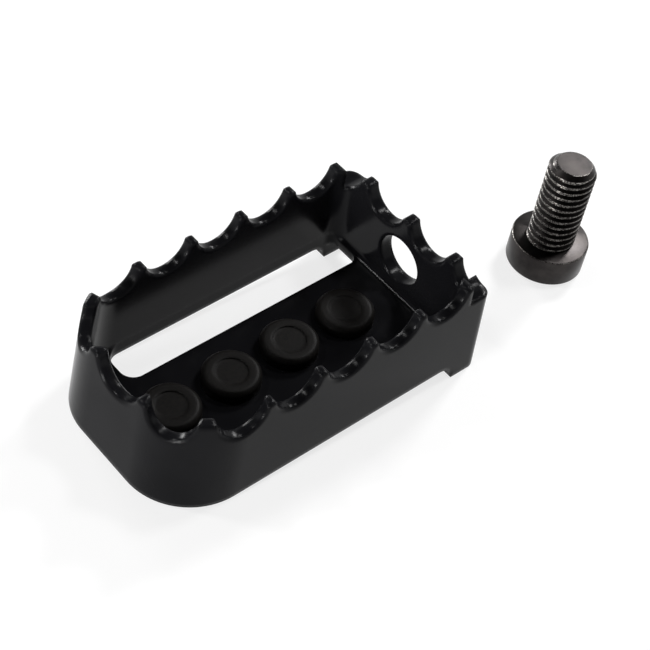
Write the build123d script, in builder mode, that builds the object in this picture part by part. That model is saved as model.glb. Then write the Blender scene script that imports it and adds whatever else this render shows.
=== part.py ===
from build123d import *

import os

# A shifter peg: a toothed metal tray that bolts to the end of a gear lever
# Four rubber studs stand in a row on its floor, and its mounting screw stands beside it, taken out
#
# Millimetres, +Z up. The origin is the centre of the bore, on the face that seats on the lever.
# +X points to the lever, and the tray reaches back along -X to its round tip.
# On a table the peg leans back a little, on its two lugs and the bottom edge of its tip.

# Heights above the bottom of the lugs
bore_height = 10.8
wall_bottom_height = 3.0
floor_thickness = 1.5
rim_height = 19.4

# Outside of the tray, at the bottom of the lugs and at the rim
foot_half_width = 16.5
rim_half_width = 16.15
foot_tip_reach = 57.9
rim_tip_reach = 55.6
tip_corner_radius = 10.85
end_corner_radius = 2.0

# Walls, and the pocket inside them
wall = 2.0
end_wall = 2.4
pocket_end_radius = 2.6
pocket_floor_fillet = 1.0

# Ears that flank the lever's end, and lugs below them
ear_reach = 1.5
lever_gap_half_width = 12.3
lug_reach = 4.1
lug_gap_half_width = 14.4

# Slot along one side of the floor, up to the wall
slot_width = 6.5
slot_end_reach = 3.0
slot_tip_reach = 47.5
slot_corner_radius = 1.5
slot_tip_radius = 2.4

# Teeth along the rim, and the scallops between them
side_tooth_count = 6
side_pitch = 9.317
first_tooth_reach = 3.6
end_pitch = 9.75
last_tooth_half_gap = 13.1
last_gap_lean = 0.35
tip_tooth_half_gap = 5.3
tip_tooth_inset = 0.8
tooth_flat = 1.35
last_gap_flat = 1.65
corner_flat = 1.95
scallop_depth = 3.6
tooth_round = 0.5
edge_bevel = 0.3

# Bore for an M8 screw
bore_radius = 4.3

# Rubber studs, each with a stem through the floor
stud_count = 4
stud_pitch = 11.07
first_stud_reach = 12.8
stud_row_y = -0.3
stud_radius = 4.6
stud_rise = 2.1
stud_shoulder = 0.6
stud_dish_radius = 2.6
stud_dish_depth = 0.15
stem_radius = 2.4
stem_clearance = 0.1

# Low-head M8 x 16 socket screw
screw_radius = 4.0
screw_length = 16.0
head_radius = 6.5
head_height = 5.0
head_bevel = 0.4
socket_across_flats = 5.0
socket_depth = 2.7
tip_chamfer = 0.9
screw_reach = 32.0
screw_y = -5.3

foot_z = -bore_height
wall_bottom_z = foot_z + wall_bottom_height
floor_z = wall_bottom_z + floor_thickness
rim_z = foot_z + rim_height
over = 2.0

# Width and reach of the outside at the floor's top
floor_share = (floor_z - foot_z) / rim_height
floor_half_width = foot_half_width + floor_share * (rim_half_width - foot_half_width)
floor_tip_reach = foot_tip_reach + floor_share * (rim_tip_reach - foot_tip_reach)
pocket_half_width = floor_half_width - wall

# Places of the outer teeth, and half the gap on each kind of side
last_tooth_reach = first_tooth_reach + (side_tooth_count - 1) * side_pitch
tip_tooth_reach = rim_tip_reach - tip_tooth_inset
side_half_gap = (side_pitch - tooth_flat) / 2
last_half_gap = (side_pitch - last_gap_flat) / 2
corner_half_gap = (side_pitch - corner_flat) / 2
tip_half_gap = tip_tooth_half_gap - tooth_flat / 2
ear_cut = (first_tooth_reach - tooth_flat / 2 + ear_reach + over) / 2

# The level surface under the peg: through the lugs' lower edge and the tip's
table = Plane(
    origin=(-lug_reach, 0, foot_z),
    x_dir=(foot_tip_reach - lug_reach, 0, -wall_bottom_height),
    z_dir=(wall_bottom_height, 0, foot_tip_reach - lug_reach),
)


def rim_plane(x, y, outward):
    """An upright plane at the rim's height, facing outward"""
    return Plane(
        origin=(x, y, rim_z),
        x_dir=(-outward[1], outward[0], 0),
        z_dir=(outward[0], outward[1], 0),
    )


os.makedirs("parts", exist_ok=True)


def flared_block(low, high, end_x, tip_reaches, half_widths, tip_radius, end_radius):
    """A block from low to high that narrows on the way up, with its upright corners rounded"""
    with BuildPart() as block:
        with BuildSketch(Plane.XZ):
            with BuildLine():
                Polyline(
                    (end_x, low),
                    (end_x, high),
                    (-tip_reaches[1], high),
                    (-tip_reaches[0], low),
                    close=True,
                )
            make_face()
        extrude(amount=2 * half_widths[0], both=True)
        for side in (-1, 1):
            flank = Plane(
                origin=(0, side * half_widths[0], low),
                x_dir=(1, 0, 0),
                z_dir=(0, side * (high - low), half_widths[0] - half_widths[1]),
            )
            split(bisect_by=flank, keep=Keep.BOTTOM)
        for end, radius in ((slice(0, 2), tip_radius), (slice(-2, None), end_radius)):
            upright = block.edges().filter_by(lambda e: e.bounding_box().size.Z > (high - low) / 2)
            fillet(upright.sort_by(Axis.X)[end], radius)
    return block.part


# Each scallop: an upright plane at the rim, half its gap, and how far it is cut both ways
last_gap_x = side_pitch / 2 - last_tooth_reach
corner_x = -(tip_tooth_reach + last_tooth_reach) / 2
corner_y = (last_tooth_half_gap + tip_tooth_half_gap) / 2
corner_run = tip_tooth_half_gap - last_tooth_half_gap
corner_rise = tip_tooth_reach - last_tooth_reach
scallops = [(rim_plane(-rim_tip_reach, 0, (-1, 0)), tip_half_gap, wall + over)]
for gap in range(side_tooth_count - 2):
    gap_x = -first_tooth_reach - (gap + 0.5) * side_pitch
    scallops += [(rim_plane(gap_x, 0, (0, -1)), side_half_gap, foot_half_width + over)]
for side in (-1, 1):
    scallops += [
        (rim_plane(-end_wall, side * end_pitch / 2, (1, 0)), side_half_gap, end_wall + over),
        (
            rim_plane(ear_reach + over - ear_cut, side * 3 * end_pitch / 2, (1, 0)),
            side_half_gap,
            ear_cut,
        ),
        (
            rim_plane(last_gap_x, side * (rim_half_width - wall / 2), (-last_gap_lean, side)),
            last_half_gap,
            wall + over,
        ),
        (
            rim_plane(corner_x, side * corner_y, (corner_run, side * corner_rise)),
            corner_half_gap,
            wall + over,
        ),
    ]

outside = flared_block(
    foot_z,
    rim_z,
    ear_reach,
    (foot_tip_reach, rim_tip_reach),
    (foot_half_width, rim_half_width),
    tip_corner_radius,
    end_corner_radius,
)
pocket = flared_block(
    floor_z,
    rim_z,
    -end_wall,
    (floor_tip_reach - wall, rim_tip_reach - wall),
    (pocket_half_width, rim_half_width - wall),
    tip_corner_radius - wall,
    pocket_end_radius,
)

with BuildPart() as peg_body:
    add(outside)
    add(pocket, mode=Mode.SUBTRACT)

    # The lever's end sits between the ears
    with BuildSketch(Plane.YZ):
        Rectangle(2 * lever_gap_half_width, 3 * rim_height)
    extrude(amount=ear_reach + over, mode=Mode.SUBTRACT)

    # Scallops, each with the edges of its two teeth rounded
    for plane, half_gap, reach in scallops:
        radius = (half_gap**2 + scallop_depth**2) / (2 * scallop_depth)
        with BuildSketch(plane) as scallop:
            with Locations((0, radius - scallop_depth)):
                Circle(radius)
            Rectangle(
                2 * (half_gap + tooth_flat + tooth_round),
                2 * radius,
                align=(Align.CENTER, Align.MIN),
            )
            fillet(scallop.vertices().sort_by(Axis.X)[2:4], tooth_round)
        extrude(amount=reach, both=True, mode=Mode.SUBTRACT)

    # A narrow bevel along the walls, over every tooth and scallop
    walls = peg_body.faces().filter_by(lambda f: f.bounding_box().size.Z > 2 * scallop_depth)
    tooth_edges = walls.edges().filter_by(
        lambda e: e.bounding_box().min.Z > rim_z - scallop_depth - edge_bevel
    )
    chamfer(tooth_edges, edge_bevel)

    # Where the floor meets the walls
    floor_faces = peg_body.faces().filter_by(Plane.XY).group_by(Axis.Z)[1]
    fillet(floor_faces.edges(), pocket_floor_fillet)

    # Below the walls only the lugs stay, with a hollow sweep up to the wall
    with BuildSketch(Plane.XZ):
        with Locations((-lug_reach - wall_bottom_height, wall_bottom_z)):
            Rectangle(foot_tip_reach, wall_bottom_height + over, align=(Align.MAX, Align.MAX))
        with Locations((-lug_reach - wall_bottom_height, foot_z)):
            Circle(wall_bottom_height)
    extrude(amount=foot_half_width + over, both=True, mode=Mode.SUBTRACT)
    with BuildSketch(Plane.XY.offset(wall_bottom_z)):
        Rectangle(2 * foot_tip_reach, 2 * lug_gap_half_width)
    extrude(amount=-wall_bottom_height - over, mode=Mode.SUBTRACT)

    # Slot down through the floor, flush with the wall beside it
    with BuildSketch(Plane.XY.offset(floor_z + pocket_floor_fillet)) as slot:
        with Locations((-slot_end_reach, pocket_half_width)):
            Rectangle(
                slot_tip_reach - slot_end_reach,
                slot_width,
                align=(Align.MAX, Align.MAX),
            )
        fillet(slot.vertices().group_by(Axis.X)[0], slot_tip_radius)
        fillet(slot.vertices().group_by(Axis.X)[-1], slot_corner_radius)
    extrude(amount=-pocket_floor_fillet - floor_thickness - over, mode=Mode.SUBTRACT)

    # Bore, and the holes for the studs
    with BuildSketch(Plane.YZ.offset(over)):
        Circle(bore_radius)
    extrude(amount=-end_wall - 2 * over, mode=Mode.SUBTRACT)
    with BuildSketch(Plane.XY.offset(floor_z + over)):
        for stud in range(stud_count):
            with Locations((-first_stud_reach - stud * stud_pitch, stud_row_y)):
                Circle(stem_radius + stem_clearance)
    extrude(amount=-floor_thickness - 2 * over, mode=Mode.SUBTRACT)
peg_body.part.label = "peg_body"
export_step(peg_body.part, "parts/peg_body.step")

# Studs: a disc with a bevelled shoulder and a faint dish, on a stem that fills its hole
for stud in range(stud_count):
    with BuildPart() as rubber_stud:
        with BuildSketch(Plane.XZ) as half_stud:
            with BuildLine():
                Polyline(
                    (0, -floor_thickness),
                    (stem_radius, -floor_thickness),
                    (stem_radius, 0),
                    (stud_radius, 0),
                    (stud_radius, stud_rise),
                    (0, stud_rise),
                    (0, -floor_thickness),
                )
            make_face()
            chamfer(
                half_stud.vertices().group_by(Axis.Y)[-1].sort_by(Axis.X)[-1], stud_shoulder
            )
        revolve(axis=Axis.Z)
        with BuildSketch(Plane.XY.offset(stud_rise)) as dish:
            Circle(stud_dish_radius)
        extrude(amount=-stud_dish_depth, mode=Mode.SUBTRACT)
    rubber_stud.part.position = (
        -first_stud_reach - stud * stud_pitch,
        stud_row_y,
        floor_z,
    )
    rubber_stud.part.label = f"rubber_stud_{stud + 1}"
    export_step(rubber_stud.part, f"parts/rubber_stud_{stud + 1}.step")

# The screw stands on its head, square to the surface under the peg
with BuildPart(table) as mounting_screw:
    with Locations((screw_reach, screw_y)):
        Cylinder(head_radius, head_height, align=(Align.CENTER, Align.CENTER, Align.MIN))
        chamfer(mounting_screw.edges().filter_by(GeomType.CIRCLE), head_bevel)
    with Locations((screw_reach, screw_y, head_height)):
        Cylinder(screw_radius, screw_length, align=(Align.CENTER, Align.CENTER, Align.MIN))
    chamfer(mounting_screw.edges().sort_by(Axis.Z)[-1], tip_chamfer)
    with BuildSketch(table) as socket:
        with Locations((screw_reach, screw_y)):
            RegularPolygon(socket_across_flats / 2, 6, major_radius=False)
    extrude(amount=socket_depth, mode=Mode.SUBTRACT)
mounting_screw.part.label = "mounting_screw"
export_step(mounting_screw.part, "parts/mounting_screw.step")
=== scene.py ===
# %% [markdown]
# # A black shifter peg and its screw
# The real part is a small cast tray with a toothed rim. It bolts to the end of a gear lever, and
# the toe hooks against it. It is powder coated in a glossy black. Four rubber studs stand on its
# floor, and the screw that holds it stands beside it, on its head.
#
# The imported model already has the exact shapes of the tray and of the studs, so this script gives
# those their finish. The screw is built again here, because its thread is too fine for the solids.

from math import atan2, cos, degrees, pi, radians, sin

import bmesh
import bpy
from mathutils import Matrix, Vector


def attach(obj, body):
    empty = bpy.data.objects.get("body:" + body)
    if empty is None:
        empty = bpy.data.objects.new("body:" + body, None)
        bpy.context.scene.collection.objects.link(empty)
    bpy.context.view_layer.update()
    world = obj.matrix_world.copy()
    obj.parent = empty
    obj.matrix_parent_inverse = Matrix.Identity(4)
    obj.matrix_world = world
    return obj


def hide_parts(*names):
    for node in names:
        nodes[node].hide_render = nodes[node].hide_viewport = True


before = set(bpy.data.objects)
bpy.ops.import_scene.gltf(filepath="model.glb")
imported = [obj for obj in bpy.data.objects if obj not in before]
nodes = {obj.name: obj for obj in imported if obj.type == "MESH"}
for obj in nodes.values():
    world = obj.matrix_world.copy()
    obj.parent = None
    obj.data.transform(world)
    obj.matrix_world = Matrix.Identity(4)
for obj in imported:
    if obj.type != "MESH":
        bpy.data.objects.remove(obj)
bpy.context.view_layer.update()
print("nodes:", sorted(nodes))

# %% [markdown]
# ## Units
# Blender works in metres here, and the part is drawn in millimetres. One name for a millimetre
# keeps every size below readable, and turns it into metres where it is used. All lengths below
# are in millimetres unless their comment says otherwise.

# %% A millimetre
MM = 0.001


def mm(*values):
    """A point or a direction, given in millimetres"""
    return Vector(values) * MM


print("10 mm is", round(mm(10, 0, 0).length, 4), "m")

# %% [markdown]
# ## The surface under the part
# The tray leans back a little when it stands on a table: it rests on the two lugs at its lever end
# and on the bottom edge of its tip. The model is drawn level with the tray. The tray could be
# turned, but then it would leave the frame that it shares with the solids, so the table is the
# thing that leans here. Its plane goes through the two places that touch.

# %% The table's plane
FOOT_HEIGHT = -10.8  # bottom of the lugs
FOOT_X = -4.1  # the lugs' edge on the side of the tip
TIP_HEIGHT = -7.8  # bottom of the walls
TIP_X = -57.9

LEAN = atan2(TIP_HEIGHT - FOOT_HEIGHT, FOOT_X - TIP_X)
to_table = Matrix.Translation(mm(FOOT_X, 0, FOOT_HEIGHT)) @ Matrix.Rotation(LEAN, 4, "Y")
print("the table leans", round(degrees(LEAN), 2), "degrees")

# %% [markdown]
# ## Camera
# The photograph looks down on the tray from its tip side, from about 48 degrees above. Its
# direction was worked out from edges whose real directions are known. The picture is also turned
# a little, so the camera is rolled by the same angle round its own line of sight. From the three
# angles come the camera's own axes: right and up in the picture, and back, out of the picture.

# %% Camera axes
AZIMUTH, ELEVATION, ROLL = radians(-46.45), radians(48.31), radians(9.06)

back = Vector((sin(AZIMUTH) * cos(ELEVATION), -cos(AZIMUTH) * cos(ELEVATION), sin(ELEVATION)))
level = Vector((cos(AZIMUTH), sin(AZIMUTH), 0))
upright = back.cross(level)
right = cos(ROLL) * level + sin(ROLL) * upright
up = cos(ROLL) * upright - sin(ROLL) * level
print("away from the part:", [round(value, 3) for value in back])

# %% [markdown]
# A long lens, from a few hand widths away, keeps the sides of the tray nearly parallel, as they
# are in the photograph. The distance and the lens go together: at the middle of the tray's foot,
# one millimetre has to come out 6.6 pixels wide.

# %% Camera
AIM = (-29.6, 0, -9.3)  # the middle of the tray's foot
DISTANCE = 261.45  # from there, along the line of sight
ACROSS, UPWARD = 10.41, 7.70  # to centre the part in the picture
PIXELS_PER_MM = 6.6
PICTURE_PIXELS = 650
SENSOR = 36
NEAREST, FARTHEST = 0.01, 20  # m, what the camera sees between

eye = (DISTANCE * back + ACROSS * right + UPWARD * up) * MM + mm(*AIM)
bpy.ops.object.camera_add()
camera = bpy.context.object
camera.name = "camera"
camera.data.sensor_width = SENSOR
camera.data.lens = PIXELS_PER_MM * DISTANCE * SENSOR / PICTURE_PIXELS
camera.matrix_world = Matrix.Translation(eye) @ Matrix((right, up, back)).transposed().to_4x4()
camera.data.clip_start, camera.data.clip_end = NEAREST, FARTHEST
bpy.context.scene.camera = camera
print("lens", round(camera.data.lens, 1), "mm")

# %% [markdown]
# ## Colours
# A colour picked from a screen is sRGB, and the shader wants linear light. One function turns a
# hex value into the shader's numbers.


# %% Hex to linear light
def colour(hex_value):
    """An sRGB hex value as linear red, green, blue and alpha"""
    channels = [int(hex_value[i : i + 2], 16) / 255 for i in (1, 3, 5)]
    linear = [c / 12.92 if c <= 0.04045 else ((c + 0.055) / 1.055) ** 2.4 for c in channels]
    return (*linear, 1)


print("mid grey #808080 is", [round(c, 3) for c in colour("#808080")[:3]])

# %% [markdown]
# ## Nodes
# A material is a chain of nodes. Adding one takes its own settings, such as the operation of a
# Math node or the stops of a colour ramp, and what goes into its inputs: numbers, colours or
# links. With one function for all of that, each material below is a short list of what feeds
# what.


# %% Add and feed nodes
def feed(node, *in_order, **by_name):
    """Fills a node's inputs, by their order or name, with values or links"""
    for key, value in [*enumerate(in_order), *by_name.items()]:
        socket = node.inputs[key if isinstance(key, int) else key.replace("_", " ")]
        if isinstance(value, bpy.types.NodeSocket):
            node.id_data.links.new(value, socket)
        else:
            socket.default_value = value


def add_node(tree, kind, settings=None, *in_order, **by_name):
    """A new node with its settings and its inputs; a ramp's stops are (position, hex) pairs"""
    node = tree.nodes.new(kind)
    for name, value in (settings or {}).items():
        if name != "stops":
            setattr(node, name, value)
            continue
        elements = node.color_ramp.elements
        while len(elements) < len(value):
            elements.new(1)
        for element, (position, hex_value) in zip(elements, value):
            element.position, element.color = position, colour(hex_value)
    feed(node, *in_order, **by_name)
    return node


# %% [markdown]
# Every new material starts with its shader and with the place of each point on the piece, in
# Object coordinates, so that its pattern stays on the piece from any side.


# %% Start a material
def new_material(name):
    """A new material, its node tree, its shader and its object coordinates"""
    material = bpy.data.materials.new(name)
    material.use_nodes = True
    tree = material.node_tree
    shader = tree.nodes["Principled BSDF"]
    place = add_node(tree, "ShaderNodeTexCoord").outputs["Object"]
    print("material:", name)
    return material, tree, shader, place


# %% [markdown]
# All three finishes have rounded edges and a fine relief. Rounding every edge in the mesh would
# take tens of thousands of faces on the scallops. The Bevel node turns the normal near an edge
# instead, so that the light runs over it as over a round one, and a bump lies on top of that.

# %% Rounded edges and relief
BEVEL_SAMPLES = 8


def rounded_skin(tree, rounding, relief, depth, strength):
    """The normals with every edge rounded, and those with the relief on top"""
    edges = add_node(
        tree, "ShaderNodeBevel", {"samples": BEVEL_SAMPLES}, Radius=rounding * MM
    ).outputs["Normal"]
    skin = add_node(
        tree,
        "ShaderNodeBump",
        Strength=strength,
        Distance=depth * MM,
        Height=relief,
        Normal=edges,
    ).outputs["Normal"]
    return edges, skin


# %% [markdown]
# ## Gloss black powder coat
# Powder is sprayed on dry and baked, and flows into a thick, glossy skin. It pulls back a little
# from sharp edges and rounds them, and it keeps a faint ripple, about a millimetre from crest to
# crest, which makes each reflection waver. The black is a little lighter where the coat is thin,
# in clouds about as wide as a finger.
#
# A full gloss mirrors 4 percent of the light straight on and far more at a slant. The white round
# the photograph's tray was most likely made whiter afterwards, so a full gloss would mirror more
# white here than there. The specular level is turned down until the walls are about as dark.

# %% Powder coat
EDGE_SKIN = 1.0  # how far the coat rounds an edge
RIPPLE = 1.1  # from crest to crest
RIPPLE_DEPTH = 0.05
CLOUD = 14

powder_coat, tree, shader, place = new_material("gloss_black_powder_coat")
cloud = add_node(tree, "ShaderNodeTexNoise", Vector=place, Scale=1 / (CLOUD * MM), Detail=2.0)
black = add_node(
    tree,
    "ShaderNodeValToRGB",
    {"stops": [(0.35, "#0e0e10"), (0.65, "#151517")]},
    Fac=cloud.outputs["Fac"],
)
ripple = add_node(tree, "ShaderNodeTexNoise", Vector=place, Scale=1 / (RIPPLE * MM), Detail=2.0)
edges, skin = rounded_skin(tree, EDGE_SKIN, ripple.outputs["Fac"], RIPPLE_DEPTH, strength=0.1)
feed(shader, Base_Color=black.outputs["Color"], Normal=skin)
feed(shader, Roughness=0.18, IOR=1.5, Specular_IOR_Level=0.07)
print("powder coat nodes:", len(tree.nodes))

# %% [markdown]
# ## Moulded rubber
# The studs are moulded in nitrile rubber. It is black with a touch of brown, and its skin is dull
# because the mould is blasted. The blasted grain both bumps the surface and varies its gloss. It
# is drawn a third of a millimetre wide, which is coarser than the real one, so that it shows. A
# moulded shoulder is round, so the one that the solid has is softened.

# %% Rubber
SHOULDER = 0.8
GRAIN = 0.35
GRAIN_DEPTH = 0.05
SHINIEST, DULLEST = 0.4, 0.6  # roughness

rubber, tree, shader, place = new_material("moulded_nitrile_rubber")
grain = add_node(tree, "ShaderNodeTexNoise", Vector=place, Scale=1 / (GRAIN * MM), Detail=3.0)
brown_black = add_node(
    tree,
    "ShaderNodeValToRGB",
    {"stops": [(0.3, "#0b0a0a"), (0.7, "#13110f")]},
    Fac=grain.outputs["Fac"],
)
shine = add_node(
    tree, "ShaderNodeMapRange", Value=grain.outputs["Fac"], To_Min=SHINIEST, To_Max=DULLEST
)
edges, skin = rounded_skin(tree, SHOULDER, grain.outputs["Fac"], GRAIN_DEPTH, strength=0.25)
feed(shader, Base_Color=brown_black.outputs["Color"], Normal=skin)
feed(shader, Roughness=shine.outputs["Result"], IOR=1.5, Specular_IOR_Level=0.09)
print("rubber nodes:", len(tree.nodes))

# %% [markdown]
# ## Black oxide steel
# The screw is alloy steel, blackened in a hot salt bath. The oxide is thin, so the metal still
# shows through as a dark, satin grey. It varies in patches a few millimetres across, and is
# duller where the film is thicker. The specks in the relief are drawn as fine as the render can
# show them.

# %% Black oxide
PATCH = 3
SPECK = 0.25
SPECK_DEPTH = 0.03
RUBBED_AND_HIGHLIT_EDGE = 0.35  # how far in from an edge the oxide is rubbed off and the edge highlight is painted
POLISHED, SATIN = 0.25, 0.45  # roughness

black_oxide, tree, shader, place = new_material("black_oxide_steel")
film = add_node(tree, "ShaderNodeTexNoise", Vector=place, Scale=1 / (PATCH * MM), Detail=6.0)
specks = add_node(tree, "ShaderNodeTexNoise", Vector=place, Scale=1 / (SPECK * MM), Detail=2.0)
patches = add_node(
    tree, "ShaderNodeMapRange", Value=film.outputs["Fac"], To_Min=POLISHED, To_Max=SATIN
)
edges, skin = rounded_skin(tree, RUBBED_AND_HIGHLIT_EDGE, specks.outputs["Fac"], SPECK_DEPTH, strength=0.25)
feed(shader, Metallic=1.0, Roughness=patches.outputs["Result"], Normal=skin)
print("black oxide nodes:", len(tree.nodes))

# %% [markdown]
# Screws tumble against each other before they are packed, which rubs specks of bare steel onto
# every edge. The Bevel node finds those edges: its normal turns away from the mesh's own only
# near them, so the product of both falls below 1 there. That mask is broken up by the specks,
# and lifts the colour from the oxide's greys towards bare steel. The lighter edges are partly that
# wear and partly a painted highlight, which stands for the light that the crests and rims catch.

# %% Rubbed edges and painted edge highlights
UNTURNED, TURNED = 0.995, 0.9  # product of the two normals, off an edge and on it
FILM_SHARE = 0.5  # how much of the ramp the film's patches use

normal = add_node(tree, "ShaderNodeNewGeometry").outputs["Normal"]
turn = add_node(tree, "ShaderNodeVectorMath", {"operation": "DOT_PRODUCT"}, edges, normal)
near_edge = add_node(
    tree, "ShaderNodeMapRange", Value=turn.outputs["Value"], From_Min=UNTURNED, From_Max=TURNED
)
bare_and_glint = add_node(
    tree, "ShaderNodeMapRange", Value=specks.outputs["Fac"], From_Min=0.42, From_Max=0.62
)
# Painted highlight: this edge mask is partly real wear and partly light painted onto the crests and
# rims
rubbed_and_highlit = add_node(
    tree,
    "ShaderNodeMath",
    {"operation": "MULTIPLY"},
    near_edge.outputs["Result"],
    bare_and_glint.outputs["Result"],
)
tone = add_node(
    tree,
    "ShaderNodeMath",
    {"operation": "MULTIPLY_ADD"},
    film.outputs["Fac"],
    FILM_SHARE,
    rubbed_and_highlit.outputs[0],
)
# The light stop is bare steel where worn, and it is also the painted highlight on the edges
steel = add_node(
    tree,
    "ShaderNodeValToRGB",
    {"stops": [(0.15, "#232121"), (0.35, "#3b3837"), (1.0, "#a8a5a0")]},
    Fac=tone.outputs[0],
)
feed(shader, Base_Color=steel.outputs["Color"])
print("with rubbed edges:", len(tree.nodes))

# %% [markdown]
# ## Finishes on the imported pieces
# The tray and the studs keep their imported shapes, and only their material slots change.


# %% Tray and studs
def finish_node(name, material):
    """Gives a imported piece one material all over"""
    slots = nodes[name].data.materials
    slots.clear()
    slots.append(material)
    print(name, "is", material.name)


finish_node("peg_body", powder_coat)
for stud in range(4):
    finish_node(f"rubber_stud_{stud + 1}", rubber)

# %% [markdown]
# ## Starting and changing a piece
# An operator acts on all that is selected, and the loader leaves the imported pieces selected, so
# each new piece starts with nothing selected. A modifier is applied as soon as it is set, so that
# the next step works on its result.


# %% Helpers for pieces
def start(name, primitive, **settings):
    """Deselects everything, adds a primitive and names it"""
    bpy.ops.object.select_all(action="DESELECT")
    primitive(**settings)
    piece = bpy.context.object
    piece.name = name
    return piece


def apply_modifier(piece, kind, **settings):
    """Adds a modifier and applies it"""
    modifier = piece.modifiers.new(kind.lower(), kind)
    for name, value in settings.items():
        setattr(modifier, name, value)
    bpy.context.view_layer.objects.active = piece
    bpy.ops.object.modifier_apply(modifier=modifier.name)
    print(piece.name, "after", kind.lower(), "has", len(piece.data.polygons), "faces")


# %% [markdown]
# ## The screw's thread
# A rolled M8 thread climbs 1.25 mm each turn, its flanks meet at 60 degrees, and its crest and
# root are flat. It could be a bump, but its outline shows against the white, so it is real. One
# pitch of that outline is drawn as a chain of edges, from a point that is extruded four times.

# %% Outline of one pitch
SCREW_RADIUS = 4.0
SCREW_LENGTH = 16.0
PITCH = 1.25
THREAD_DEPTH = 0.69
ROOT_RADIUS = SCREW_RADIUS - THREAD_DEPTH
CREST = PITCH / 8
ROOT = PITCH / 4
FLANK = (PITCH - CREST - ROOT) / 2
SPARE_TURNS = 2

thread = start("thread", bpy.ops.mesh.primitive_plane_add, size=PITCH * MM)
bpy.ops.object.mode_set(mode="EDIT")
bpy.ops.mesh.merge(type="CENTER")
bpy.ops.transform.translate(value=mm(ROOT_RADIUS, 0, -SPARE_TURNS * PITCH))
for step in ((0, 0, ROOT), (THREAD_DEPTH, 0, FLANK), (0, 0, CREST), (-THREAD_DEPTH, 0, FLANK)):
    bpy.ops.mesh.extrude_region_move(TRANSFORM_OT_translate={"value": mm(*step)})
bpy.ops.object.mode_set(mode="OBJECT")
print("outline:", len(thread.data.edges), "edges")

# %% [markdown]
# The Screw modifier winds the outline upward, one pitch a turn, so that each turn starts where
# the last one ended. The winding runs two turns past both ends of the screw. Its turns are welded
# and its two ends are closed, which makes it a solid that can be trimmed.

# %% Wind the thread
TURN_STEPS = 64
WELD = 0.001  # under which two points are one

apply_modifier(
    thread,
    "SCREW",
    angle=2 * pi,
    screw_offset=PITCH * MM,
    iterations=int(SCREW_LENGTH / PITCH) + 2 * SPARE_TURNS + 1,
    steps=TURN_STEPS,
    render_steps=TURN_STEPS,
)
bpy.ops.object.mode_set(mode="EDIT")
bpy.ops.mesh.select_all(action="SELECT")
bpy.ops.mesh.remove_doubles(threshold=WELD * MM)
bpy.ops.mesh.fill_holes(sides=0)
bpy.ops.mesh.select_all(action="SELECT")
bpy.ops.mesh.normals_make_consistent(inside=False)
bpy.ops.object.mode_set(mode="OBJECT")
print("welded and closed:", len(thread.data.polygons), "faces")

# %% [markdown]
# ## Picking edges, and putting a piece in its place
# Edges and faces are picked by where they are, as a hand would click on them. A finished piece
# keeps its object at the origin, and its place goes into its mesh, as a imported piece's does.


# %% Pick and settle
def pick(piece, kind, test):
    """Selects, in edit mode, the edges or faces of which every corner passes the test"""
    bpy.ops.mesh.select_mode(type=kind.upper())
    bpy.ops.mesh.select_all(action="DESELECT")
    mesh = bmesh.from_edit_mesh(piece.data)
    for element in mesh.edges if kind == "edge" else mesh.faces:
        element.select_set(all(test(vertex.co) for vertex in element.verts))
    bmesh.update_edit_mesh(piece.data)


def settle(piece, matrix):
    """Puts a finished piece in its place, and keeps the place in its mesh"""
    piece.matrix_world = matrix @ piece.matrix_world
    bpy.ops.object.select_all(action="DESELECT")
    piece.select_set(True)
    bpy.context.view_layer.objects.active = piece
    bpy.ops.object.transform_apply(location=True, rotation=True, scale=True)
    print(piece.name, "is", [round(size / MM, 2) for size in piece.dimensions], "mm")


# %% [markdown]
# ## The point of the screw
# The point is chamfered, so that it finds its hole. A plain rod with that chamfer is laid over
# the winding, and only what both have in common stays. The rod starts a little below the top of
# the head, so that the thread runs down into it.

# %% Trim the thread
TIP_CHAMFER = 1.1
RUN_IN = 0.4

rod = start(
    "rod",
    bpy.ops.mesh.primitive_cylinder_add,
    vertices=2 * TURN_STEPS,
    radius=SCREW_RADIUS * MM,
    depth=(SCREW_LENGTH + RUN_IN) * MM,
    location=mm(0, 0, (SCREW_LENGTH - RUN_IN) / 2),
)
settle(rod, Matrix.Identity(4))
bpy.ops.object.mode_set(mode="EDIT")
pick(rod, "edge", lambda co: co.z > (SCREW_LENGTH - WELD) * MM)
bpy.ops.mesh.bevel(offset=TIP_CHAMFER * MM, segments=1)
bpy.ops.object.mode_set(mode="OBJECT")
apply_modifier(thread, "BOOLEAN", operation="INTERSECT", object=rod, solver="EXACT")
bpy.data.objects.remove(rod)

# %% [markdown]
# ## The screw's head
# The head is low and wide, with a small round at both rims. It starts as a cylinder, and both
# rims are bevelled. Its upper face is then inset to the root of the thread and pulled up into a
# short neck, and the corner round the neck is bevelled into a fillet.

# %% Head
HEAD_RADIUS = 6.5
HEAD_HEIGHT = 5.0
HEAD_SIDES = 96
HEAD_ROUND, ROUND_STEPS = 0.25, 2
NECK_FILLET, FILLET_STEPS = 0.5, 4

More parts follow.
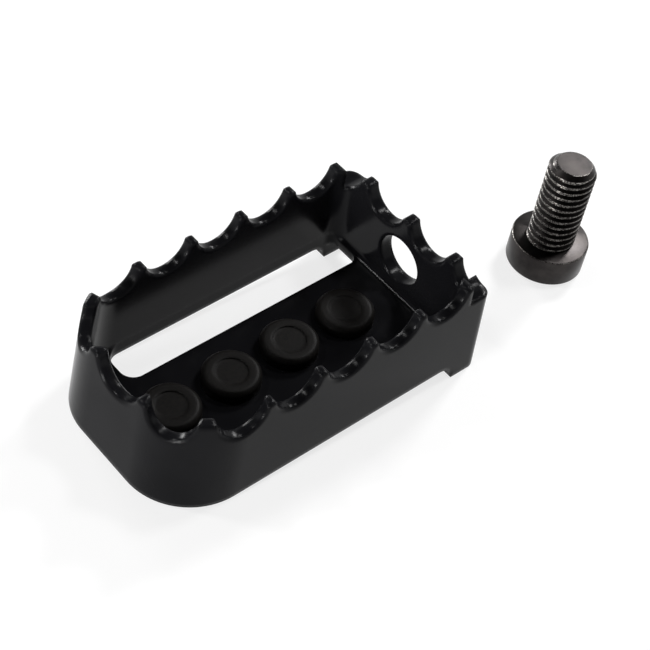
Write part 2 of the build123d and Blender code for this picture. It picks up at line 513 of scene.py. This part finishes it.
head = start(
    "mounting_screw_threaded",
    bpy.ops.mesh.primitive_cylinder_add,
    vertices=HEAD_SIDES,
    radius=HEAD_RADIUS * MM,
    depth=HEAD_HEIGHT * MM,
    location=mm(0, 0, -HEAD_HEIGHT / 2),
)
settle(head, Matrix.Identity(4))
bpy.ops.object.mode_set(mode="EDIT")
for rim in (-HEAD_HEIGHT, 0):
    pick(head, "edge", lambda co: abs(co.z - rim * MM) < WELD * MM)
    bpy.ops.mesh.bevel(offset=HEAD_ROUND * MM, segments=ROUND_STEPS, profile=0.5)
pick(head, "face", lambda co: co.z > -WELD * MM)
bpy.ops.mesh.inset(thickness=(HEAD_RADIUS - HEAD_ROUND - ROOT_RADIUS) * MM)
bpy.ops.mesh.extrude_region_move(TRANSFORM_OT_translate={"value": mm(0, 0, 2 * NECK_FILLET)})
pick(
    head,
    "edge",
    lambda co: abs(co.z) < WELD * MM and co.xy.length < (ROOT_RADIUS + WELD) * MM,
)
bpy.ops.mesh.bevel(offset=NECK_FILLET * MM, segments=FILLET_STEPS, profile=0.5)
bpy.ops.object.mode_set(mode="OBJECT")
print("head faces:", len(head.data.polygons))

# %% [markdown]
# A hexagon for a 5 mm key is pressed into the head, on the side that faces the table. The round
# face has no hexagon in it to push in, so a six-sided prism is cut out of the head instead.

# %% Socket
KEY = 5.0  # across its flats
SOCKET_DEPTH = 2.7

socket = start(
    "socket",
    bpy.ops.mesh.primitive_cylinder_add,
    vertices=6,
    radius=KEY / 2 / cos(pi / 6) * MM,
    depth=2 * SOCKET_DEPTH * MM,
    location=mm(0, 0, -HEAD_HEIGHT),
)
apply_modifier(head, "BOOLEAN", operation="DIFFERENCE", object=socket, solver="EXACT")
bpy.data.objects.remove(socket)

# %% [markdown]
# The head and the thread are one piece on the real screw, so they are joined with a union. The
# screw is then stood on its head, square on the table, where the photograph shows it.

# %% Join and stand the screw
SCREW_REACH, SCREW_Y = 32.0, -5.3  # along the table from the lugs, and across it
SMOOTH_BELOW = radians(30)

apply_modifier(head, "BOOLEAN", operation="UNION", object=thread, solver="EXACT")
bpy.data.objects.remove(thread)
settle(head, to_table @ Matrix.Translation(mm(SCREW_REACH, SCREW_Y, HEAD_HEIGHT)))
bpy.ops.object.shade_smooth_by_angle(angle=SMOOTH_BELOW)
head.data.materials.clear()
head.data.materials.append(black_oxide)
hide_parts("mounting_screw")
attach(head, "root")

# %% [markdown]
# ## Table
# The photograph is on plain white, with faint soft shadows. The table is pale matt paint that the
# lamps light. Paint alone would give dark shadows, so it also glows a little for the camera and in
# reflections, which lifts the shadows and lights nothing. It ends where the lamps' light begins to
# fall off. It lies a hair under the part, so that no face of the screw is in its plane.

# %% Table
TABLE_SIZE = 600
TABLE_GAP = 0.02
TABLE_GLOW = 0.74  # 1 is white

table = start("table", bpy.ops.mesh.primitive_plane_add, size=TABLE_SIZE * MM)
settle(table, to_table @ Matrix.Translation(mm(0, 0, -TABLE_GAP)))
table_paint, tree, shader, place = new_material("matt_white_table")
feed(shader, Base_Color=colour("#929292"), Roughness=0.9, Specular_IOR_Level=0.0)
rays = add_node(tree, "ShaderNodeLightPath").outputs
seen = rays["Is Camera Ray"]
for kind in ("Is Glossy Ray", "Is Transmission Ray"):
    seen = add_node(
        tree, "ShaderNodeMath", {"operation": "MAXIMUM"}, seen, rays[kind]
    ).outputs[0]
glow = add_node(tree, "ShaderNodeMath", {"operation": "MULTIPLY"}, seen, TABLE_GLOW)
feed(shader, Emission_Color=(1, 1, 1, 1), Emission_Strength=glow.outputs[0])
table.data.materials.append(table_paint)

# %% [markdown]
# ## Room
# The room is a white backdrop all round with a dark ceiling above it. The height of a direction
# over the horizon picks the brightness. A black part needs that dark ceiling: its level faces
# mirror it and so stay black, while its upright faces pick up a little of the white.

# %% World
BACKDROP, CEILING = 1.0, 0.03  # strength, where 1 is white
BACKDROP_TOP, CEILING_START = 0.28, 0.5  # 0 is the horizon and 1 straight up

world = bpy.data.worlds.new("white_room")
bpy.context.scene.world = world
world.use_nodes = True
tree = world.node_tree
tree.nodes.clear()
direction = add_node(tree, "ShaderNodeTexCoord").outputs["Generated"]
height = add_node(tree, "ShaderNodeSeparateXYZ", Vector=direction).outputs["Z"]
strength = add_node(
    tree,
    "ShaderNodeMapRange",
    {"interpolation_type": "SMOOTHSTEP"},
    Value=height,
    From_Min=BACKDROP_TOP,
    From_Max=CEILING_START,
    To_Min=BACKDROP,
    To_Max=CEILING,
).outputs["Result"]
background = add_node(tree, "ShaderNodeBackground", Color=(1, 1, 1, 1), Strength=strength)
add_node(tree, "ShaderNodeOutputWorld", Surface=background.outputs["Background"])
print("room nodes:", len(tree.nodes))

# %% [markdown]
# ## Lamps
# A glossy black part shows little but what it mirrors, so soft boxes are placed for the lines
# that they draw. Each box is given the share of the full level that it adds on the table, and
# its power follows. All shares and the room together come to about 1, at which a colour renders
# about as it is written.
#
# The main box stands beyond the lever end, and a smaller one hangs nearer to it, above the screw.
# A third is high up behind the tip. The last two are low, one behind the tray and one beyond its
# tip, and light the upright walls.


# %% Lamps
def soft_box(name, place, size, share):
    """A square soft light that faces the part and adds a share of the full level on the table"""
    reach = Vector(place) * MM
    bpy.ops.object.light_add(type="AREA", location=reach)
    lamp = bpy.context.object
    lamp.name = name
    lamp.data.size = size * MM
    slant = reach.normalized().z
    lamp.data.energy = share * pi**2 * reach.length_squared / slant
    lamp.rotation_euler = reach.to_track_quat("Z", "Y").to_euler()
    print(name, round(lamp.data.energy, 2), "W")


soft_box("box_far", (430, 130, 340), 90, 0.4)
soft_box("box_above", (215, -25, 390), 60, 0.24)
soft_box("box_behind", (-210, 240, 400), 45, 0.15)
soft_box("box_back", (20, 450, 80), 130, 0.12)
soft_box("box_tip", (-560, -40, 130), 90, 0.16)

# %% [markdown]
# ## Tones
# Blender's usual view softens bright tones, which would turn the white background grey. The
# Standard view shows a colour as it is.

# %% View
bpy.context.scene.view_settings.view_transform = "Standard"
print("view:", bpy.context.scene.view_settings.view_transform)
